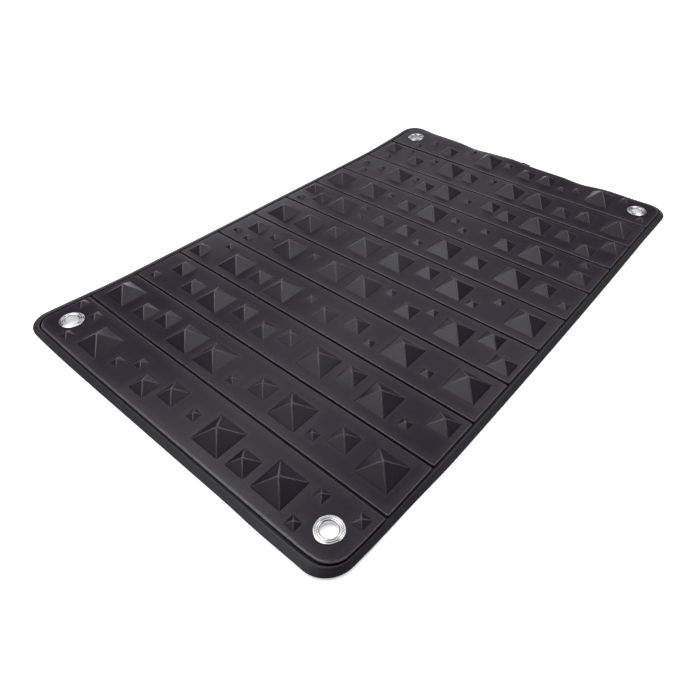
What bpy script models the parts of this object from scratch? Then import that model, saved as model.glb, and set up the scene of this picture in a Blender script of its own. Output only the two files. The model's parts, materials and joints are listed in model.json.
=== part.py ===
"""Seedling heat mat: eleven studded rubber panels on one thin rubber sheet, with four metal eyelets.

Frame: metres, +Z up. X runs along the panels, Y runs from the first panel to the last, and the
origin is the centre of the mat's underside. The sheet bends along the ten lines between panels,
so it is modelled as one stretch for each panel, with a small gap on each line.
"""

import math
import re

import bmesh
import bpy
from mathutils import Vector

MM = 0.001

# Mat outline
MAT_WIDTH = 500 * MM
MAT_LENGTH = 800 * MM
MAT_CORNER = 30 * MM
CORNER_STEPS = 6

# Panels
PANELS = 11
PITCH = 71 * MM
GROOVE = 3 * MM
END_PAD_EDGE = 389.6 * MM
PAD_HALF_LENGTH = 240.5 * MM
PAD_CORNER = 1.2 * MM
PAD_END_CORNER = 20 * MM
PAD_CHAMFER = 0.8 * MM

# Heights above the surface that the mat lies on
BASE_TOP = 2.4 * MM
FOIL_BOTTOM = 2.7 * MM
FOIL_TOP = 3.0 * MM
PAD_BOTTOM = 3.3 * MM
PAD_TOP = 6.8 * MM

# Rim round the sheet
RIM_INNER_X = 242.8 * MM
RIM_INNER_Y = 391.8 * MM
RIM_CREST = 5.0 * MM
RIM_CREST_WIDTH = 1.0 * MM
RIM_FOOT = 1.2 * MM
RIM_FOOT_STEP = 0.4 * MM

# Bending lines
HINGE_HEIGHT = 1.2 * MM
HINGE_GAP = 0.3 * MM
HINGE_RELIEF = math.radians(15.5)

# Pyramids: base side and height of each size
PYRAMIDS = {
    "S": (12.5 * MM, 5 * MM),
    "M": (25 * MM, 10 * MM),
    "L": (37.5 * MM, 15 * MM),
}
PYRAMID_ROOT = 0.5 * MM

# Each panel's pyramids in millimetres: size, place along the panel, offset from its middle line
LAYOUT = (
    "S-232+22 S-198+20 S-192-20 L-153-1 S-110-6 S-86+9 M-55-8 M-21+4"
    " S+19+0 L+60-1 M+103-7 L+146-1 S+183+15 S+183-21 S+227+19",
    "L-213+1 M-162-4 M-128+5 L-81-2 L-31-2 S+11-12 M+46+1 L+93-2 S+129-11 M+157+5 L+207+2",
    "M-201+14 S-220-20 M-158-4 L-114-2 M-67+5 M-24-4 M+11+7 L+63-1 M+106+6 L+151-1"
    " S+191-11 M+220+14",
    "M-221-12 S-195+21 L-154-3 M-107-3 L-64-4 S-22+6 M+12-6 M+54+4 S+86-11 L+125+3"
    " S+166-8 L+209+4",
    "M-203+12 S-165+8 S-223-12 S-194-18 L-127+1 S-85+8 L-40+1 L+10+0 S+47+12 M+84-5"
    " S+111+13 L+151-1 M+193+16 M+222-14",
    "L-207-2 L-153+0 M-106+5 L-48+2 L+9+2 M+57+9 L+104+2 S+139-12 S+164+14 L+207-1",
    "M-223+15 M-192-2 S-222-20 L-151+2 S-118+19 S-108-7 M-73+5 M-30+6 S+3-10 L+42+1"
    " M+94+0 L+150+1 M+194+5 S+227-11",
    "L-213+0 L-147+0 S-113+7 M-73-4 L-29+2 S+11+7 S+34-10 S+63+9 M+102-5 L+148+2"
    " S+181-1 S+212+21 M+218-13",
    "S-222+7 S-188+6 S-208-19 L-147+1 S-116+10 M-89-3 L-50+3 S-7-1 M+30+8 M+63-3"
    " L+111+2 M+159+4 M+196-15 M+223+17",
    "M-220+14 S-208-20 S-185+21 M-158-6 S-129+14 L-89+3 M-48+0 S-11+15 L+29+2 L+78+2"
    " M+124-7 M+159+4 L+209+0",
    "S-190-22 S-167+2 M-129-9 S-95+18 L-54+2 S-17+9 M+22+2 M+58+5 S+90-5 S+112+7"
    " L+152+2 S+186+21 S+227-21",
)

# Eyelets and their washers
EYELET_X = 212 * MM
EYELET_Y = 358 * MM
EYELET_BORE = 8.5 * MM
EYELET_BARREL = 9.1 * MM
EYELET_FLANGE = 14.5 * MM
EYELET_FLANGE_TOP = 8.1 * MM
EYELET_LIP = 11.4 * MM
WASHER_RADIUS = 14 * MM
WASHER_BOTTOM = 0.8 * MM
WASHER_TOP = 1.4 * MM
RECESS_RADIUS = 14.6 * MM
RECESS_TOP = 1.7 * MM
SHEET_BORE = 9.4 * MM
FOIL_BORE = 15.5 * MM
ROUND_STEPS = 24

# Heating cable
CABLE_RADIUS = 1.0 * MM
CABLE_HEIGHT = 4.3 * MM
CABLE_LEG_PITCH = 15 * MM
CABLE_HALF_SPAN = 226 * MM
CABLE_END_SPAN = 186 * MM
CABLE_TURN_STEPS = 6
CABLE_TAIL = 32.5 * MM
CHANNEL_HALF_WIDTH = 1.3 * MM
CHANNEL_TOP = 5.6 * MM

# Lead inlet, splice block and thermal limiter, in the last panel
INLET_HALF_WIDTH = 8 * MM
INLET_INNER_Y = 384 * MM
INLET_OUTER_Y = 399 * MM
INLET_BOTTOM = 0.3 * MM
INLET_TOP = 3.9 * MM
INLET_HOLE_HALF_WIDTH = 3.4 * MM
INLET_HOLE_HALF_HEIGHT = 1.1 * MM
POCKET_Y = 15 * MM
POCKET_HALF_DEPTH = 5 * MM
POCKET_TOP = 5.7 * MM
SPLICE_X = 0.0
SPLICE_HALF_LENGTH = 12 * MM
LIMITER_X = 26 * MM
LIMITER_HALF_LENGTH = 9 * MM
BLOCK_TOP = 5.4 * MM

GAP = 0.3 * MM
PAST = 3 * MM


def clear_scene():
    for item in list(bpy.data.objects):
        bpy.data.objects.remove(item, do_unlink=True)


def make_material(name, colour, roughness, metallic=0.0):
    material = bpy.data.materials.new(name)
    material.use_nodes = True
    shader = material.node_tree.nodes["Principled BSDF"]
    shader.inputs["Base Color"].default_value = (*colour, 1.0)
    shader.inputs["Roughness"].default_value = roughness
    shader.inputs["Metallic"].default_value = metallic
    material.diffuse_color = (*colour, 1.0)
    return material


def pivot(index):
    """A point on the bending line that a panel turns about; the middle panel stays put."""
    middle = (PANELS - 1) // 2
    if index == middle:
        return Vector((0.0, 0.0, 0.0))
    towards_middle = 1 if index < middle else -1
    return Vector((0.0, panel_centre(index) + towards_middle * PITCH / 2, HINGE_HEIGHT))


def add_object(name, bm, index, material=None, smooth=False):
    """Object in world position, with its origin on its panel's bending line."""
    mesh = bpy.data.meshes.new(name)
    origin = pivot(index)
    bmesh.ops.translate(bm, verts=bm.verts[:], vec=-origin)
    bmesh.ops.recalc_face_normals(bm, faces=bm.faces[:])
    bm.to_mesh(mesh)
    bm.free()
    if smooth:
        mesh.shade_smooth()
        mesh.set_sharp_from_angle(angle=math.radians(40))
    item = bpy.data.objects.new(name, mesh)
    item.location = origin
    if material:
        mesh.materials.append(material)
    bpy.context.scene.collection.objects.link(item)
    return item


def add_cutter(name, bm, index):
    cutter = add_object(name, bm, index)
    cutter.hide_render = True
    cutter.display_type = "WIRE"
    return cutter


def add_boolean(item, operation, cutter):
    modifier = item.modifiers.new(operation.lower() + "_" + cutter.name, "BOOLEAN")
    modifier.operation = operation
    modifier.solver = "EXACT"
    modifier.object = cutter


def loft(bm, loops):
    """Closed solid through loops of equal length, with a flat cap at each end."""
    rings = [[bm.verts.new(point) for point in loop] for loop in loops]
    for low, high in zip(rings, rings[1:]):
        for i in range(len(low)):
            j = (i + 1) % len(low)
            bm.faces.new((low[i], low[j], high[j], high[i]))
    bm.faces.new(list(reversed(rings[0])))
    bm.faces.new(rings[-1])


def rounded_outline(low_x, high_x, low_y, high_y, near_radius, far_radius, steps):
    """Anticlockwise outline of a rectangle whose near and far corners have their own radius."""
    corners = (
        (low_x + near_radius, low_y + near_radius, near_radius, 180),
        (high_x - near_radius, low_y + near_radius, near_radius, 270),
        (high_x - far_radius, high_y - far_radius, far_radius, 0),
        (low_x + far_radius, high_y - far_radius, far_radius, 90),
    )
    outline = []
    for x, y, radius, start in corners:
        for step in range(steps + 1):
            angle = math.radians(start + 90 * step / steps)
            outline.append((x + radius * math.cos(angle), y + radius * math.sin(angle)))
    return outline


def at_height(outline, z):
    return [(x, y, z) for x, y in outline]


def add_block(bm, low, high):
    outline = [(low[0], low[1]), (high[0], low[1]), (high[0], high[1]), (low[0], high[1])]
    loft(bm, [at_height(outline, low[2]), at_height(outline, high[2])])


def add_round(bm, centre, radius, low_z, high_z):
    outline = []
    for step in range(ROUND_STEPS):
        angle = 2 * math.pi * step / ROUND_STEPS
        outline.append((centre[0] + radius * math.cos(angle), centre[1] + radius * math.sin(angle)))
    loft(bm, [at_height(outline, low_z), at_height(outline, high_z)])


def add_turned(bm, centre, profile):
    """Ring turned about a vertical axis from a closed (radius, height) profile."""
    rings = []
    for step in range(ROUND_STEPS):
        angle = 2 * math.pi * step / ROUND_STEPS
        ring = []
        for radius, height in profile:
            x = centre[0] + radius * math.cos(angle)
            y = centre[1] + radius * math.sin(angle)
            ring.append(bm.verts.new((x, y, height)))
        rings.append(ring)
    for i in range(ROUND_STEPS):
        here = rings[i]
        there = rings[(i + 1) % ROUND_STEPS]
        for j in range(len(profile)):
            k = (j + 1) % len(profile)
            bm.faces.new((here[j], there[j], there[k], here[k]))


def panel_centre(index):
    return (index - (PANELS - 1) / 2) * PITCH


def is_end(index):
    return index in (0, PANELS - 1)


def panel_name(kind, index):
    return f"{kind}_{index + 1:02d}"


def pad_outline(index, inset):
    """Top outline of a pad; the first and last pads reach the rim and have wide outer corners."""
    centre = panel_centre(index)
    low_y = centre - PITCH / 2 + GROOVE / 2
    high_y = centre + PITCH / 2 - GROOVE / 2
    near_radius = PAD_CORNER
    far_radius = PAD_CORNER
    if index == 0:
        low_y = -END_PAD_EDGE
        near_radius = PAD_END_CORNER
    if index == PANELS - 1:
        high_y = END_PAD_EDGE
        far_radius = PAD_END_CORNER
    half = PAD_HALF_LENGTH - inset
    return rounded_outline(
        -half,
        half,
        low_y + inset,
        high_y - inset,
        near_radius - inset,
        far_radius - inset,
        CORNER_STEPS if is_end(index) else 1,
    )


def panel_pyramids(index):
    """Size letter and centre of every pyramid on a panel."""
    centre = panel_centre(index)
    for size, along, across in re.findall(r"([SML])([+-]\d+)([+-]\d+)", LAYOUT[index]):
        yield size, int(along) * MM, centre + int(across) * MM


def add_pyramid(bm, x, y, side, height):
    """Square pyramid whose sides run on a little below the pad's top face."""
    half = side / 2 * (height + PYRAMID_ROOT) / height
    foot = PAD_TOP - PYRAMID_ROOT
    ring = [
        bm.verts.new((x + i * half, y + j * half, foot))
        for i, j in ((-1, -1), (1, -1), (1, 1), (-1, 1))
    ]
    apex = bm.verts.new((x, y, PAD_TOP + height))
    for i in range(4):
        bm.faces.new((ring[i], ring[(i + 1) % 4], apex))
    bm.faces.new(list(reversed(ring)))


def cable_route(index):
    """Centre line of one panel's heating cable: four legs, three turns and a tail at each end."""
    centre = panel_centre(index)
    span = CABLE_END_SPAN if is_end(index) else CABLE_HALF_SPAN
    radius = CABLE_LEG_PITCH / 2
    first_leg = -1.5 * CABLE_LEG_PITCH
    tail_x = -span - radius
    route = [(tail_x, -CABLE_TAIL)]
    route += arc(-span, first_leg - radius, radius, 180, 90)
    route += arc(span, first_leg + radius, radius, -90, 90)
    route += arc(-span, 0.0, radius, 270, 90)
    route += arc(span, -first_leg - radius, radius, -90, 90)
    route += arc(-span, -first_leg + radius, radius, 270, 180)
    route.append((tail_x, CABLE_TAIL))
    return [Vector((x, centre + y)) for x, y in route]


def arc(x, y, radius, start, end):
    steps = CABLE_TURN_STEPS * abs(end - start) // 180
    points = []
    for step in range(steps + 1):
        angle = math.radians(start + (end - start) * step / steps)
        points.append((x + radius * math.cos(angle), y + radius * math.sin(angle)))
    return points


def offset_route(route, distance):
    """The route moved sideways, with mitred corners."""
    moved = []
    for i, point in enumerate(route):
        before = route[max(i - 1, 0)]
        after = route[min(i + 1, len(route) - 1)]
        into = (point - before).normalized() if i else (after - point).normalized()
        out = (after - point).normalized() if i < len(route) - 1 else into
        side = Vector((-into.y - out.y, into.x + out.x)).normalized()
        mitre = distance / side.dot(Vector((-into.y, into.x)))
        moved.append(point + side * mitre)
    return moved


def lengthened(route, extra):
    start = route[0] + (route[0] - route[1]).normalized() * extra
    end = route[-1] + (route[-1] - route[-2]).normalized() * extra
    return [start, *route[1:-1], end]


def build_channel_cutter(index):
    route = lengthened(cable_route(index), GAP)
    outline = offset_route(route, -CHANNEL_HALF_WIDTH)
    outline += reversed(offset_route(route, CHANNEL_HALF_WIDTH))
    bm = bmesh.new()
    loft(bm, [at_height(outline, PAD_BOTTOM - PAST), at_height(outline, CHANNEL_TOP)])
    return add_cutter(panel_name("channel_cutter", index), bm, index)


def build_whole_sheet():
    """The sheet and its rim as one solid, which the slice of each panel is taken from."""
    half_x = MAT_WIDTH / 2
    half_y = MAT_LENGTH / 2

    def ring(x, y, z):
        radius = MAT_CORNER - (half_x - x)
        outline = rounded_outline(-x, x, -y, y, radius, radius, CORNER_STEPS)
        return at_height(outline, z)

    bm = bmesh.new()
    loft(
        bm,
        [
            ring(half_x, half_y, 0.0),
            ring(half_x, half_y, RIM_FOOT),
            ring(half_x - RIM_FOOT_STEP, half_y - RIM_FOOT_STEP, RIM_FOOT),
            ring(RIM_INNER_X + RIM_CREST_WIDTH, RIM_INNER_Y + RIM_CREST_WIDTH, RIM_CREST),
            ring(RIM_INNER_X, RIM_INNER_Y, RIM_CREST),
            ring(RIM_INNER_X, RIM_INNER_Y, BASE_TOP),
        ],
    )
    return bm


def build_slice_cutter(index):
    """Prism along X that leans back above the bending line on each side of the panel."""
    top = PAD_TOP
    lean = (top - HINGE_HEIGHT) * math.tan(HINGE_RELIEF)
    low = panel_centre(index) - PITCH / 2 + HINGE_GAP / 2
    high = panel_centre(index) + PITCH / 2 - HINGE_GAP / 2
    low_lean = lean
    high_lean = lean
    if index == 0:
        low = -MAT_LENGTH / 2 - PAST
        low_lean = 0.0
    if index == PANELS - 1:
        high = MAT_LENGTH / 2 + PAST
        high_lean = 0.0
    section = [
        (low, -PAST),
        (high, -PAST),
        (high, HINGE_HEIGHT),
        (high - high_lean, top),
        (low + low_lean, top),
        (low, HINGE_HEIGHT),
    ]
    reach = MAT_WIDTH / 2 + PAST
    bm = bmesh.new()
    loft(bm, [[(x, y, z) for y, z in section] for x in (-reach, reach)])
    return add_cutter(panel_name("slice_cutter", index), bm, index)


def eyelet_centres(index):
    y = -EYELET_Y if index == 0 else EYELET_Y
    return [(-EYELET_X, y), (EYELET_X, y)]


def build_round_cutter(kind, index, radius, low_z, high_z):
    bm = bmesh.new()
    for centre in eyelet_centres(index):
        add_round(bm, centre, radius, low_z, high_z)
    return add_cutter(panel_name(kind, index), bm, index)


def build_base_panel(index, whole_sheet, material):
    panel = add_object(panel_name("base_panel", index), whole_sheet.copy(), index, material)
    add_boolean(panel, "INTERSECT", build_slice_cutter(index))
    if is_end(index):
        bore = build_round_cutter("sheet_bore", index, SHEET_BORE, -PAST, PAD_TOP)
        recess = build_round_cutter("sheet_recess", index, RECESS_RADIUS, -PAST, RECESS_TOP)
        add_boolean(panel, "DIFFERENCE", recess)
        add_boolean(panel, "DIFFERENCE", bore)
    if index == PANELS - 1:
        bm = bmesh.new()
        low = (-INLET_HALF_WIDTH - GAP, INLET_INNER_Y - GAP, -PAST)
        high = (INLET_HALF_WIDTH + GAP, MAT_LENGTH / 2 + PAST, PAD_TOP)
        add_block(bm, low, high)
        add_boolean(panel, "DIFFERENCE", add_cutter("inlet_notch", bm, index))


def build_pad(index, material):
    bm = bmesh.new()
    loft(
        bm,
        [
            at_height(pad_outline(index, 0.0), PAD_BOTTOM),
            at_height(pad_outline(index, 0.0), PAD_TOP - PAD_CHAMFER),
            at_height(pad_outline(index, PAD_CHAMFER), PAD_TOP),
        ],
    )
    pad = add_object(panel_name("pad", index), bm, index, material)
    bm = bmesh.new()
    for size, x, y in panel_pyramids(index):
        add_pyramid(bm, x, y, *PYRAMIDS[size])
    add_boolean(pad, "UNION", add_cutter(panel_name("pyramids", index), bm, index))
    add_boolean(pad, "DIFFERENCE", build_channel_cutter(index))
    if is_end(index):
        bore = build_round_cutter("pad_bore", index, SHEET_BORE, 0.0, EYELET_FLANGE_TOP + PAST)
        add_boolean(pad, "DIFFERENCE", bore)
    if index == PANELS - 1:
        add_boolean(pad, "DIFFERENCE", build_pad_pockets(index))


def build_pad_pockets(index):
    """Pockets in the last pad's underside for the lead inlet, splice block and limiter."""
    middle = panel_centre(index) + POCKET_Y
    low_z = PAD_BOTTOM - PAST
    bm = bmesh.new()
    inlet_low = (-INLET_HALF_WIDTH - GAP, INLET_INNER_Y - GAP, low_z)
    inlet_high = (INLET_HALF_WIDTH + GAP, MAT_LENGTH / 2 + PAST, INLET_TOP + GAP)
    add_block(bm, inlet_low, inlet_high)
    for x, half in ((SPLICE_X, SPLICE_HALF_LENGTH), (LIMITER_X, LIMITER_HALF_LENGTH)):
        low = (x - half - GAP, middle - POCKET_HALF_DEPTH - GAP, low_z)
        high = (x + half + GAP, middle + POCKET_HALF_DEPTH + GAP, POCKET_TOP)
        add_block(bm, low, high)
    return add_cutter("pad_pockets", bm, index)


def build_foil(index, material):
    """Heat spreader foil, as wide as its pad, with a clear hole round each eyelet."""
    outline = pad_outline(index, PAD_CHAMFER)
    bm = bmesh.new()
    loft(bm, [at_height(outline, FOIL_BOTTOM), at_height(outline, FOIL_TOP)])
    foil = add_object(panel_name("spreader_foil", index), bm, index, material)
    if is_end(index):
        bore = build_round_cutter("foil_bore", index, FOIL_BORE, 0.0, PAD_TOP)
        add_boolean(foil, "DIFFERENCE", bore)
    if index == PANELS - 1:
        bm = bmesh.new()
        low = (-INLET_HALF_WIDTH - GAP, INLET_INNER_Y - GAP, 0.0)
        high = (INLET_HALF_WIDTH + GAP, MAT_LENGTH / 2, PAD_TOP)
        add_block(bm, low, high)
        add_boolean(foil, "DIFFERENCE", add_cutter("foil_notch", bm, index))


def build_cable(index, material):
    curve = bpy.data.curves.new(panel_name("heater_run", index), "CURVE")
    curve.dimensions = "3D"
    curve.bevel_depth = CABLE_RADIUS
    curve.bevel_resolution = 1
    curve.use_fill_caps = True
    route = cable_route(index)
    origin = pivot(index)
    spline = curve.splines.new("POLY")
    spline.points.add(len(route) - 1)
    for point, place in zip(spline.points, route):
        point.co = (place.x - origin.x, place.y - origin.y, CABLE_HEIGHT - origin.z, 1.0)
    curve.materials.append(material)
    cable = bpy.data.objects.new(panel_name("heater_run", index), curve)
    cable.location = origin
    bpy.context.scene.collection.objects.link(cable)


def eyelet_profile():
    """Flanged barrel, rolled outward at its lower end."""
    flange_bottom = PAD_TOP + GAP
    lip_bottom = 0.1 * MM
    lip_top = WASHER_BOTTOM - GAP
    return [
        (EYELET_BORE, 0.9 * MM),
        (EYELET_BORE, flange_bottom),
        (9.3 * MM, EYELET_FLANGE_TOP - 0.25 * MM),
        (10.2 * MM, EYELET_FLANGE_TOP),
        (12.8 * MM, EYELET_FLANGE_TOP),
        (14.0 * MM, EYELET_FLANGE_TOP - 0.3 * MM),
        (EYELET_FLANGE, flange_bottom + 0.2 * MM),
        (EYELET_FLANGE - 0.2 * MM, flange_bottom),
        (EYELET_BARREL, flange_bottom),
        (EYELET_BARREL, lip_top),
        (EYELET_LIP, lip_top),
        (EYELET_LIP, lip_bottom),
        (9.3 * MM, lip_bottom),
    ]


def washer_profile():
    return [
        (SHEET_BORE, WASHER_BOTTOM),
        (SHEET_BORE, WASHER_TOP),
        (WASHER_RADIUS, WASHER_TOP),
        (WASHER_RADIUS, WASHER_BOTTOM),
    ]


def build_eyelets(eyelet_material, washer_material):
    for index, end in ((0, "near"), (PANELS - 1, "far")):
        for centre, side in zip(eyelet_centres(index), ("left", "right")):
            bm = bmesh.new()
            add_turned(bm, centre, eyelet_profile())
            add_object(f"eyelet_{end}_{side}", bm, index, eyelet_material, smooth=True)
            bm = bmesh.new()
            add_turned(bm, centre, washer_profile())
            add_object(f"washer_{end}_{side}", bm, index, washer_material, smooth=True)


def build_lead_inlet(material):
    """Bush in the far rim, with a flat hole for a two-core lead."""
    bm = bmesh.new()
    low = (-INLET_HALF_WIDTH, INLET_INNER_Y, INLET_BOTTOM)
    high = (INLET_HALF_WIDTH, INLET_OUTER_Y, INLET_TOP)
    add_block(bm, low, high)
    index = PANELS - 1
    inlet = add_object("lead_inlet", bm, index, material)
    middle = (INLET_BOTTOM + INLET_TOP) / 2
    bm = bmesh.new()
    low = (-INLET_HOLE_HALF_WIDTH, INLET_INNER_Y - PAST, middle - INLET_HOLE_HALF_HEIGHT)
    high = (INLET_HOLE_HALF_WIDTH, INLET_OUTER_Y + PAST, middle + INLET_HOLE_HALF_HEIGHT)
    add_block(bm, low, high)
    add_boolean(inlet, "DIFFERENCE", add_cutter("inlet_hole", bm, index))


def build_inner_block(name, x, half_length, material):
    index = PANELS - 1
    middle = panel_centre(index) + POCKET_Y
    bm = bmesh.new()
    low = (x - half_length, middle - POCKET_HALF_DEPTH, PAD_BOTTOM)
    high = (x + half_length, middle + POCKET_HALF_DEPTH, BLOCK_TOP)
    add_block(bm, low, high)
    add_object(name, bm, index, material)


def build_mat():
    sheet_rubber = make_material("sheet_rubber", (0.022, 0.023, 0.023), 0.62)
    pad_rubber = make_material("pad_rubber", (0.042, 0.041, 0.045), 0.48)
    cable_jacket = make_material("cable_jacket", (0.35, 0.05, 0.03), 0.5)
    foil = make_material("foil", (0.8, 0.8, 0.82), 0.35, 1.0)
    bright_metal = make_material("bright_metal", (0.78, 0.78, 0.79), 0.18, 1.0)
    washer_metal = make_material("washer_metal", (0.7, 0.7, 0.71), 0.3, 1.0)
    bush_plastic = make_material("bush_plastic", (0.02, 0.02, 0.02), 0.5)
    block_plastic = make_material("block_plastic", (0.6, 0.58, 0.52), 0.5)

    whole_sheet = build_whole_sheet()
    for index in range(PANELS):
        build_base_panel(index, whole_sheet, sheet_rubber)
        build_pad(index, pad_rubber)
        build_foil(index, foil)
        build_cable(index, cable_jacket)
    whole_sheet.free()
    build_eyelets(bright_metal, washer_metal)
    build_lead_inlet(bush_plastic)
    build_inner_block("splice_block", SPLICE_X, SPLICE_HALF_LENGTH, block_plastic)
    build_inner_block("thermal_limiter", LIMITER_X, LIMITER_HALF_LENGTH, block_plastic)


clear_scene()
build_mat()
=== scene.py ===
"""Looks of the seedling heat mat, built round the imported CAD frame.

Every piece is modelled flat, in the row frame, and then follows the slight waves of the rubber as it
lies: see settle(). Lengths are in metres, with MM to write them in millimetres.
"""

import json
import math

import bmesh
import bpy
import numpy as np
from mathutils import Matrix, Vector
from mathutils.geometry import delaunay_2d_cdt


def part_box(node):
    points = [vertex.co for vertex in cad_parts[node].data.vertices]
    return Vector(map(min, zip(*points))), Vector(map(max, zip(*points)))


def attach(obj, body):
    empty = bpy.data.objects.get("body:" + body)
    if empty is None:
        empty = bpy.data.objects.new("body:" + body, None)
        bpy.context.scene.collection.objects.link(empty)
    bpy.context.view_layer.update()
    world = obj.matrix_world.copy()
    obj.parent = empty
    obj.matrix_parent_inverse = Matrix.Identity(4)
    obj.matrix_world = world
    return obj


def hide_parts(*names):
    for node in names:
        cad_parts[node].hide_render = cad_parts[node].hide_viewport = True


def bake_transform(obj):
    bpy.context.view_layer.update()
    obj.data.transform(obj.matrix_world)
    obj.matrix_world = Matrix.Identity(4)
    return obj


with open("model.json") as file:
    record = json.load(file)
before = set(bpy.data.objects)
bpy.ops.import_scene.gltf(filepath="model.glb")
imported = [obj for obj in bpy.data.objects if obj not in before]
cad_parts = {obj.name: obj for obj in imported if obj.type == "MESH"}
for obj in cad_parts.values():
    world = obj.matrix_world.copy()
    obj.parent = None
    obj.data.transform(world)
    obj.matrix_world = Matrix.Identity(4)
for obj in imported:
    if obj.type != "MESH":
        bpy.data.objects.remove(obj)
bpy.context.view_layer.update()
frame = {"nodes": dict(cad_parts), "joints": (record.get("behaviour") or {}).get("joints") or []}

MM = 0.001

# The mat's parts, measured on the frame
PANELS = len([name for name in frame["nodes"] if name.startswith("pad_")])
JOINTS = sorted(joint["pos_m"][1] for joint in frame["joints"])
SHEET_LOW, SHEET_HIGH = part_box("base_panel_01")[0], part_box(f"base_panel_{PANELS:02d}")[1]
HALF_WIDTH = SHEET_HIGH.x
HALF_LENGTH = SHEET_HIGH.y
RIM_CREST = SHEET_HIGH.z
FOIL_LOW, FOIL_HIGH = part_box("spreader_foil_06")
BASE_TOP = FOIL_LOW.z - 0.3 * MM
PAD_BOTTOM = FOIL_HIGH.z + 0.3 * MM
PAD_TOP = 6.8 * MM
MAT_CORNER = 30 * MM
GROOVE = 3 * MM

# Rim round the sheet. The profile gives the share of the way from the outer edge to the inner wall, and
# the height in millimetres
RIM_WIDTH_X = 7.2 * MM
RIM_WIDTH_Y = 8.2 * MM
RIM_PROFILE = (
    (0.130, 0.00),
    (0.065, 0.06),
    (0.020, 0.25),
    (0.000, 0.55),
    (0.000, 0.90),
    (0.022, 1.22),
    (0.075, 1.52),
    (0.770, 4.74),
    (0.830, 4.93),
    (0.880, 5.00),
    (0.945, 4.98),
    (0.985, 4.82),
    (1.000, 4.55),
    (1.000, 2.90),
    (1.030, 2.55),
    (1.090, 2.40),
)
RIM_CORNER_STEPS = 20
# Lightening of each profile loop, listed from the outer edge inward: the sheet turns paler on the rim's
# outer wall and crest
RIM_LIGHTENING = (0.0, 0.0, 0.2, 0.5, 0.6, 0.5, 0.2, 0.1, 0.5, 0.9, 0.6, 0.2, 0.0, 0.0, 0.0, 0.0)

# Pads. A skirt round each reaches down to the sheet. CHANNEL_TOP lies above the roofs of the channel and
# pockets in the CAD pads. GRID is the size of the triangles and slices that let flat faces follow the
# rubber's waves, and CLEAR how far the grid's points keep from a face's edges
PAD_BEVEL = 1.2 * MM
PAD_END_BEVEL = 3.2 * MM
PAD_CORNER = 1.6 * MM
PAD_END_CORNER = 20 * MM
BEVEL_STEPS = 5
SKIRT_BOTTOM = BASE_TOP + 0.05 * MM
SKIRT_WALL = 0.6 * MM
SMALLEST_CORNER = 0.15 * MM
CORNER_STEPS = 6
END_CORNER_STEPS = 24
FLAT_WEAR = 0.15
CHANNEL_TOP = 5.9 * MM
GRID = 9 * MM
CLEAR = 1.6 * MM

# Pyramids, by their height above the pad: plan radius of the ridges at the foot and at the top, how far
# from the middle the blunt tip starts, and the depth and width of the moat round the foot, all in
# millimetres. LEAST_HEIGHT tells the tips from other points of a CAD pad
RIDGES = {
    5: (0.7, 1.5, 1.3, 0.10, 0.12),
    10: (0.8, 2.2, 1.7, 0.25, 0.30),
    15: (1.0, 2.9, 2.0, 0.45, 0.55),
}
SLOPE = 0.8
RIDGE_STEPS = 6
FACE_LEVELS = 7
TIP_SHARES = (0.8, 0.55, 0.28)
LEAST_HEIGHT = 4 * MM

# Eyelets and washers. The profiles give radius and height in millimetres, once round the section
ROUND_STEPS = 96
SHEET_BORE = 9.4 * MM
RECESS_RADIUS = 14.6 * MM
RECESS_TOP = 1.7 * MM
EYELET_PROFILE = (
    (8.50, 0.95),
    (8.50, 6.60),
    (8.62, 7.10),
    (8.95, 7.55),
    (9.45, 7.88),
    (9.90, 8.00),
    (10.30, 7.98),
    (10.65, 7.62),
    (11.05, 7.66),
    (11.35, 8.02),
    (11.90, 8.04),
    (12.40, 7.96),
    (12.75, 7.55),
    (13.10, 7.58),
    (13.40, 7.78),
    (13.95, 7.55),
    (14.38, 7.32),
    (14.50, 7.18),
    (14.42, 7.06),
    (14.20, 7.02),
    (9.60, 7.10),
    (9.10, 6.90),
    (9.10, 0.55),
    (9.60, 0.50),
    (10.90, 0.50),
    (11.30, 0.42),
    (11.40, 0.28),
    (11.28, 0.15),
    (10.95, 0.10),
    (9.60, 0.12),
    (8.85, 0.40),
)
WASHER_PROFILE = (
    (9.40, 0.88),
    (9.40, 1.40),
    (13.70, 1.40),
    (13.92, 1.34),
    (14.00, 1.20),
    (14.00, 0.98),
    (13.90, 0.85),
    (13.65, 0.80),
    (9.55, 0.80),
)

# Inlet bush
INLET_GAP = 0.3 * MM
BUSH_CORNER = 0.8 * MM
HOLE_HALF_WIDTH = 3.4 * MM
HOLE_HALF_HEIGHT = 1.1 * MM
HOLE_CORNER = 1.0 * MM

# How the rubber lies, in millimetres: see settle(). HALF_PADS is half the width and length that the pads
# cover together. A wave of the far edge has a place along X, a width and a height, and FAR_LIFT is how
# far that edge stands off the floor between its waves. OPENING is the widening of a groove at each side,
# as a share of its lift
HALF_PADS = (240.5, 389.6)
FAR_LEFT_LIFT = 6.0
NEAR_LEFT_LIFT = 5.2
NEAR_RIGHT_LIFT = 2.2
LEFT_RIM_LIFT = 3.4
FAR_LIFT = 2.5
FAR_WAVES = ((-24, 25, 2.5), (155, 25, 1.0), (-102, 22, -2.5), (105, 22, -2.5))
RIGHT_BOW = 2.3
LEAST_BOW = -0.9
BOW_MIDDLE = -60
BOW_REACH = 300
LEFT_RIM_SHIFT = 1.4
RIGHT_RIM_SHIFT = 2.2
CORNER_PULL = 2.4
EYELET_SHIFT = 2.6
EYELET_SPOT = (212, -358)
SKEW_LINE = -319.5
SKEW_WIDTH = 16
SKEW_MIDDLE = 1.8
SKEW_SLOPE = -0.0045
OPENING = 0.3
OPENING_FADE = 18

# The floor gives some light of its own, as a lit white sweep does: little near the mat and more beyond it
FLOOR_SIZE = 9.0
FLOOR_Z = -0.0002
FLOOR_GLOW = (0.50, 1.0)
GLOW_REACH = (1.0, 3.5)

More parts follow.
